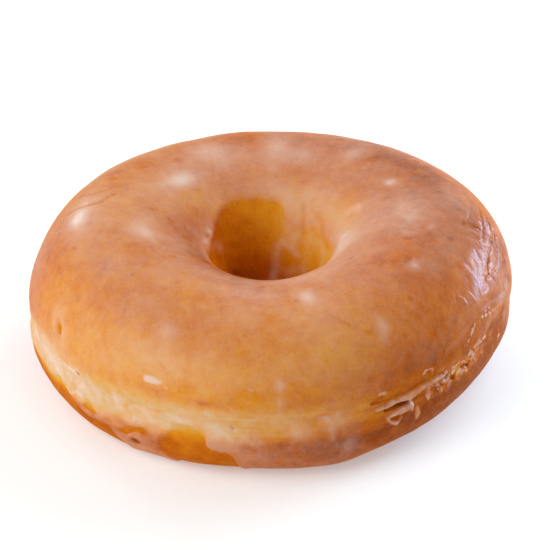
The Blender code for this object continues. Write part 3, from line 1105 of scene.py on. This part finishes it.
def glaze(material):
    """The sheet of glaze: its outer side on a fine grid, its inner side on a few rows."""
    arounds = np.radians(spaced(-180, GLAZE_AROUNDS)[:-1])
    outer = Grid(arounds, spaced(GLAZE_FROM, GLAZE_STRETCHES))
    inner = Grid(arounds, np.linspace(GLAZE_TO, GLAZE_FROM, INNER_ROWS)[1:-1])
    edge = rim_distance(outer)
    outer_points = raised(outer, dough_relief(outer) + glaze_thickness(outer, edge) - trench(outer))
    bed = dough_relief(inner) + INNER_SIDE - TRENCH_CLEAR * trench(inner)
    inner_points = raised(inner, bed)
    values = (browning_and_shade(outer), milkiness_and_painted_light(outer, edge))
    points, brown, milk_and_painted_light = sheet(outer_points, inner_points, values, inner)
    quads = closed_faces(*points.shape[:2])
    return make_piece("sugar_glaze", points, quads, brown, milk_and_painted_light, material)


def fine_patch(name, patch, relief_of, colour_of, material):
    """A patch of fine skin: a closed lens whose upper side is worked out on a very fine grid.

    Its rim dips under the glaze, and its lower side lies in the trench.
    """
    (start, stop), (top, bottom) = patch
    length = BELLY_RADIUS * math.radians(stop - start)
    arounds = np.radians(np.linspace(start, stop, int(length / PATCH_SPACING)))
    girths = np.linspace(top, bottom, int((bottom - top) / PATCH_SPACING))
    upper = Grid(arounds, girths)
    inset = patch_inset(upper, patch)
    relief = relief_of(upper) * step(inset, *PATCH_RISE)
    base = dough_relief(upper) + glaze_thickness(upper, upper.flat(WELL_INSIDE))
    dip = PATCH_DIP * (1 - step(inset, 0, 0.7))
    upper_points = raised(upper, base + relief + PATCH_PROUD - dip)
    lower = Grid(arounds, girths[::-1][::LOWER_STRIDE])
    lower_inset = patch_inset(lower, patch)
    bed = dough_relief(lower) - TRENCH_DEPTH * step(lower_inset, 0, 1) - PATCH_BOTTOM
    lower_points = raised(lower, bed)
    points, brown, milk_and_painted_light = sheet(upper_points, lower_points, colour_of(upper), lower)
    rows, columns = points.shape[:2]
    quads = closed_faces(rows, columns, wrap_rows=False).tolist()
    quads.append(list(range(columns))[::-1])
    quads.append([(rows - 1) * columns + column for column in range(columns)])
    return make_piece(name, points, quads, brown, milk_and_painted_light, material)


# Loose flakes of sugar: direction, girth, turn, half length, half width, curl, lift
FLAKES = (
    (-24.2, 22.1, 28, 0.62, 0.36, 0.10, 0.00),
    (-22.0, 22.7, 12, 0.70, 0.42, 0.12, 0.00),
    (-19.6, 23.2, 18, 0.66, 0.38, 0.12, 0.00),
    (-17.4, 23.5, 30, 0.45, 0.30, 0.10, 0.00),
    (-22.4, 21.5, 20, 0.50, 0.28, 0.10, 0.00),
    (-20.0, 21.8, 35, 0.50, 0.28, 0.10, 0.00),
    (-30.8, 22.7, -34, 1.00, 0.50, 0.12, 0.00),
    (-29.0, 21.9, -38, 0.50, 0.30, 0.10, 0.00),
    (-32.6, 24.0, -34, 0.50, 0.32, 0.10, 0.00),
    (-50.2, 24.6, 70, 0.42, 0.26, 0.10, 0.02),
    (-62.4, 25.9, -15, 0.50, 0.34, 0.10, 0.02),
    (-42.6, 27.4, -10, 0.50, 0.30, 0.12, 0.02),
    (-39.0, 27.6, -20, 0.46, 0.30, 0.12, 0.02),
    (-35.0, 27.9, 10, 0.52, 0.32, 0.15, 0.02),
    (-31.6, 27.3, -10, 0.50, 0.32, 0.15, 0.02),
    (-25.6, 27.2, 10, 0.50, 0.32, 0.10, 0.00),
    (-93.0, 20.0, 20, 0.32, 0.16, 0.05, 0.00),
    (-99.2, 29.6, 40, 0.50, 0.26, 0.10, 0.00),
    (-140.6, 26.3, 8, 0.60, 0.30, 0.10, 0.00),
    (110.0, 24.2, -10, 0.60, 0.34, 0.10, 0.00),
    (158.0, 26.0, 6, 0.66, 0.36, 0.12, 0.00),
    (62.0, 26.2, 12, 0.60, 0.32, 0.12, 0.00),
)
# Crumbs: how many, and the line along which they lie: where it starts and how far it runs
CRUMB_COUNT = 60
CRUMB_START, CRUMB_RUN = (-46, 29.6), (24, -1.4)
# Flakes and crumbs alike
FLAKE_FRIED, FLAKE_MILK = 0.7, 0.36
FLAKE_THICKNESS = 0.35  # of the half width
FLAKE_SIDES, FLAKE_RINGS = 12, 7
FLAKE_TIP = 0.15  # radians left open at each end, and closed by a face


def scattered_crumbs():
    """Rows like those of FLAKES for small crumbs, strewn along the crease's right end."""
    random = np.random.default_rng(21)
    along = random.uniform(0, 1, CRUMB_COUNT)
    size = random.uniform(0.12, 0.32, CRUMB_COUNT)
    return np.stack(
        (
            CRUMB_START[0] + CRUMB_RUN[0] * along + random.normal(0, 0.8, CRUMB_COUNT),
            CRUMB_START[1] + CRUMB_RUN[1] * along + random.normal(0, 0.9, CRUMB_COUNT),
            random.uniform(-90, 90, CRUMB_COUNT),
            size,
            size * random.uniform(0.65, 1.0, CRUMB_COUNT),
            random.uniform(0, 0.05, CRUMB_COUNT),
            0.05 * size,
        ),
        axis=-1,
    )


def flakes(material):
    """Flakes and crumbs of dry sugar, each a flattened ellipsoid bent along its length.

    A point at x along and y across it stands at its own half thickness, plus curl times (x over
    the half length) squared. Its width wavers along its length as a cosine. Each lies on the
    skin and is turned in its plane.
    """
    rows = np.concatenate((np.array(FLAKES), scattered_crumbs()))
    direction, girth, turn, length, width, curl, lift = (rows[:, column, None, None] for column in range(7))
    grid = Grid(np.radians(rows[:, 0]), rows[:, 1])
    pick = np.arange(len(rows))
    height = dough_relief(grid) + glaze_thickness(grid, grid.flat(WELL_INSIDE))
    skin = np.where(patch_inset(grid, CREASE) > 1.0, crease_relief(grid), 0)
    centre = (grid.points + grid.normals * (height + skin)[..., None])[pick, pick]
    normal = grid.normals[pick, pick]
    around = np.stack((-np.sin(grid.around), np.cos(grid.around), 0 * grid.around), axis=-1)[pick, pick]
    around = around - normal * (around * normal).sum(axis=-1, keepdims=True)
    around = around / np.linalg.norm(around, axis=-1, keepdims=True)
    down = np.cross(around, normal)

    laps = np.linspace(0, 2 * math.pi, FLAKE_SIDES, endpoint=False)
    lap, rise = np.meshgrid(laps, np.linspace(FLAKE_TIP, math.pi - FLAKE_TIP, FLAKE_RINGS))
    x = length * np.cos(rise)[None]
    y = width * (np.sin(rise) * np.cos(lap))[None] * (1 + 0.30 * np.cos(4 * rise + 2 * direction))
    z = FLAKE_THICKNESS * width * (np.sin(rise) * np.sin(lap))[None] + curl * (x / length) ** 2 + lift
    cosine, sine = np.cos(np.radians(turn)), np.sin(np.radians(turn))
    local = np.stack((x * cosine - y * sine, x * sine + y * cosine, z), axis=-1)
    frame_axes = np.stack((around, down, normal), axis=1)
    points = centre[:, None, None] + np.einsum("nrcj,njk->nrck", local, frame_axes)

    one = closed_faces(*lap.shape, wrap_rows=False)
    offsets = np.arange(len(rows)) * lap.size
    quads = (one[None] + offsets[:, None, None]).reshape(-1, 4).tolist()
    ring = np.arange(lap.shape[1])
    for offset in offsets:
        quads.append((ring[::-1] + offset).tolist())
        quads.append((ring + offset + lap.size - lap.shape[1]).tolist())
    brown, milk_and_painted_light = (np.full(points.shape[:-1], value) for value in (FLAKE_FRIED, FLAKE_MILK))
    return make_piece("sugar_flakes", points, quads, brown, milk_and_painted_light, material)


# Materials


class Recipe:
    """Adds nodes to one material and joins them."""

    def __init__(self, name):
        self.material = bpy.data.materials.new(name)
        self.material.use_nodes = True
        self.tree = self.material.node_tree
        self.shader = self.tree.nodes["Principled BSDF"]
        self.place = self.add("ShaderNodeTexCoord").outputs["Object"]

    def add(self, kind, inputs=None, **settings):
        """A node of one kind, with settings and with inputs that are numbers or other sockets."""
        node = self.tree.nodes.new(kind)
        for name, value in settings.items():
            setattr(node, name, value)
        for key, value in (inputs or {}).items():
            self.feed(node.inputs[key], value)
        return node

    def feed(self, socket, value):
        """Join another socket to this one, or set its number."""
        if isinstance(value, bpy.types.NodeSocket):
            self.tree.links.new(value, socket)
        else:
            socket.default_value = value

    def attribute(self, name):
        """A value that the mesh carries at its points."""
        return self.add("ShaderNodeAttribute", attribute_name=name).outputs["Fac"]

    def maths(self, operation, *values, clamp=False):
        """One sum of numbers or sockets."""
        node = self.add("ShaderNodeMath", dict(enumerate(values)), operation=operation)
        node.use_clamp = clamp
        return node.outputs[0]

    def grain(self, size, detail=3.0, roughness=0.55):
        """Noise of a size in millimetres, about 0.5 on average."""
        inputs = {"Vector": self.place, "Scale": 1 / (size * MM), "Detail": detail, "Roughness": roughness}
        return self.add("ShaderNodeTexNoise", inputs).outputs["Fac"]

    def spread(self, value, low, high, start=0.0, end=1.0):
        """A value from start to end, moved to run from low to high."""
        inputs = {"Value": value, "From Min": start, "From Max": end, "To Min": low, "To Max": high}
        return self.add("ShaderNodeMapRange", inputs).outputs[0]

    def blend(self, share, first, second):
        """A colour between two others."""
        node = self.add("ShaderNodeMix", {0: share, 6: first, 7: second}, data_type="RGBA")
        return node.outputs[2]

    def ramp(self, value, stops):
        """A colour that follows a value through its stops, each (place, colour)."""
        node = self.add("ShaderNodeValToRGB", {"Fac": value})
        elements = node.color_ramp.elements
        while len(elements) < len(stops):
            elements.new(0.5)
        for element, (place, colour) in zip(elements, stops):
            element.position = place
            element.color = (*colour, 1)
        return node.outputs["Color"]

    def finish(self, **inputs):
        """Feed the shader, by its inputs' names with _ for a space."""
        for name, value in inputs.items():
            self.feed(self.shader.inputs[name.replace("_", " ")], value)
        return self.material


# The dough's colour at each degree of frying
FRIED = (
    (0.00, (0.60, 0.42, 0.20)),
    (0.18, (0.60, 0.355, 0.11)),
    (0.34, (0.65, 0.31, 0.034)),
    (0.50, (0.64, 0.238, 0.010)),
    (0.66, (0.57, 0.168, 0.004)),
    (0.80, (0.49, 0.112, 0.002)),
    (0.92, (0.385, 0.080, 0.001)),
    (1.00, (0.28, 0.053, 0.001)),
)
MILK = (0.70, 0.51, 0.42, 1)  # colour of thick, milky sugar
SCATTER = (1.0, 0.40, 0.18)  # how far red, green and blue light goes in, as shares


def freckles(recipe, amount):
    """Amount on small, soft, scattered spots, and 0 between them."""
    return recipe.spread(recipe.grain(3.4, 1.5), 0.0, amount, 0.66, 0.80)


def fried_colour(recipe):
    """Dough colour by how far it is fried, mottled, finely speckled and freckled."""
    mottle = recipe.spread(recipe.grain(2.4, 3.0, 0.6), -0.18, 0.18)
    speckle = recipe.spread(recipe.grain(0.6, 3.0), -0.05, 0.05)
    change = recipe.maths("ADD", recipe.maths("ADD", mottle, speckle), freckles(recipe, 0.08))
    return recipe.ramp(recipe.maths("ADD", recipe.attribute("browning_and_shade"), change), FRIED)


def skin_finish(recipe, colour, pitting, roughness, coat, coat_roughness):
    """Finely pitted skin that light enters a little way, under a thin gloss coat."""
    fine = recipe.grain(0.6, pitting)
    relief = recipe.add("ShaderNodeBump", {"Strength": 0.5, "Distance": 0.18 * MM, "Height": fine})
    return recipe.finish(
        Base_Color=colour,
        Roughness=roughness,
        Normal=relief.outputs[0],
        Specular_IOR_Level=0.0,
        Coat_Weight=coat,
        Coat_Roughness=coat_roughness,
        Subsurface_Weight=0.2,
        Subsurface_Radius=SCATTER,
        Subsurface_Scale=0.8 * MM,
    )


def crust_material():
    """Bare fried dough: matt to oily, finely pitted, with a milky film here and there."""
    recipe = Recipe("fried_dough")
    colour = recipe.blend(recipe.attribute("milk_and_painted_light"), fried_colour(recipe), MILK)
    roughness = recipe.spread(recipe.grain(1.5), 0.35, 0.60)
    return skin_finish(recipe, colour, 4.0, roughness, 0.08, 0.25)


def glaze_material():
    """Thin sugar glaze: the dough's colour shows through it, milky where it is thick."""
    recipe = Recipe("sugar_glaze")
    cloudy = recipe.spread(recipe.grain(1.8, 3.0, 0.6), -0.13, 0.13)
    sugar = recipe.spread(recipe.grain(0.4, 1.0), -0.05, 0.05)
    change = recipe.maths("ADD", recipe.maths("ADD", cloudy, sugar), freckles(recipe, -0.10))
    milk_and_painted_light = recipe.maths("ADD", recipe.attribute("milk_and_painted_light"), change, clamp=True)
    colour = recipe.blend(milk_and_painted_light, fried_colour(recipe), MILK)
    roughness = recipe.spread(recipe.grain(2.5), 0.36, 0.54)
    return skin_finish(recipe, colour, 3.0, roughness, 0.15, 0.20)


# Stage

FLOOR_WIDTHS = 28
SQUARE = ((-1, -1), (1, -1), (1, 1), (-1, 1))
SURROUND_STRENGTH = 0.45
CAMERA_ELEVATION = 31.8  # degrees
CAMERA_AIM = (0.67, 1.26, 17.03)
CAMERA_DISTANCE = 450
CAMERA_LENS = 149.2
CAMERA_SENSOR = 36
CAMERA_NEAR = 0.01  # metres


def stage_floor():
    """A plain, pale floor, a hair below the doughnut."""
    half = FLOOR_WIDTHS / 2 * WIDTH
    mesh = bpy.data.meshes.new("floor")
    corners = [(x * half, y * half, LOW[2] - GROUND_GAP * MM) for x, y in SQUARE]
    mesh.from_pydata(corners, [], [(0, 1, 2, 3)])
    floor = placed("floor", mesh)
    recipe = Recipe("pale_floor")
    mesh.materials.append(recipe.finish(
        Base_Color=(0.72, 0.72, 0.72, 1), Roughness=0.9, Emission_Color=(1, 1, 1, 1), Emission_Strength=0.30
    ))


def area_light(name, azimuth, elevation, distance, size, power, colour, mirrored=True, roll=0):
    """A soft box that faces the doughnut, placed by its direction in degrees.

    Its distance, width and height are in doughnut widths; roll turns it in its own plane. The
    glaze may mirror it or not.
    """
    light = bpy.data.lights.new(name, "AREA")
    light.shape = "RECTANGLE"
    light.size, light.size_y = size[0] * WIDTH, size[1] * WIDTH
    light.energy = power * WIDTH**2
    light.color = colour
    lamp = placed(name, light)
    turn, rise = math.radians(azimuth), math.radians(elevation)
    towards = Vector((math.cos(rise) * math.cos(turn), math.cos(rise) * math.sin(turn), math.sin(rise)))
    lamp.location = towards * distance * WIDTH
    lamp.rotation_euler = towards.to_track_quat("Z", "Y").to_euler()
    lamp.rotation_euler.rotate_axis("Z", math.radians(roll))
    lamp.visible_camera = False
    lamp.visible_glossy = mirrored


def stage_lights():
    """A broad key from the front left and a broad bounce from behind on the right, which the
    glaze does not mirror; two near, narrow, bluish windows low on the right and a far one
    behind on the left, which it does; and an even, white surrounding."""
    area_light("key", -150, 38, 5.5, (4, 4), 215, (1.0, 0.99, 0.97), mirrored=False)
    area_light("bounce_right", 38, 33, 5.5, (4.5, 3.5), 190, (1.0, 1.0, 1.0), mirrored=False)
    area_light("window_right", 18, 10.1, 1.51, (0.115, 0.52), 16.0, (0.34, 0.62, 1.0), roll=-14)
    area_light("window_far_right", 36, 10, 1.56, (0.12, 0.34), 5.2, (0.36, 0.60, 1.0))
    area_light("window_left", 128, 24, 5, (1.05, 0.5), 28, (0.92, 0.95, 1.0))
    world = bpy.data.worlds.new("studio")
    world.use_nodes = True
    background = world.node_tree.nodes["Background"]
    background.inputs["Color"].default_value = (1.0, 1.0, 1.0, 1)
    background.inputs["Strength"].default_value = SURROUND_STRENGTH
    bpy.context.scene.world = world


def stage_camera():
    """A long lens from the front, looking down on the doughnut."""
    elevation = math.radians(CAMERA_ELEVATION)
    aim = Vector((CAMERA_AIM[0] * MM, CAMERA_AIM[1] * MM, LOW[2] + CAMERA_AIM[2] * MM))
    back = Vector((0, -math.cos(elevation), math.sin(elevation)))
    camera = placed("camera", bpy.data.cameras.new("camera"))
    camera.data.lens = CAMERA_LENS
    camera.data.sensor_width = CAMERA_SENSOR
    camera.data.clip_start = CAMERA_NEAR
    camera.location = aim + back * CAMERA_DISTANCE * MM
    camera.rotation_euler = back.to_track_quat("Z", "Y").to_euler()
    bpy.context.scene.camera = camera
    bpy.context.scene.view_settings.view_transform = "Standard"


def main():
    """Build every piece, then the stage."""
    skin = crust(crust_material())
    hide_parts("doughnut")
    sugar = glaze_material()
    glaze(sugar)
    fine_patch("torn_crease", CREASE, crease_relief, crease_colour, sugar)
    fine_patch("wrinkled_shoulder", SHOULDER, shoulder_relief, shoulder_colour, sugar)
    flakes(sugar)
    stage_floor()
    stage_lights()
    stage_camera()


main()
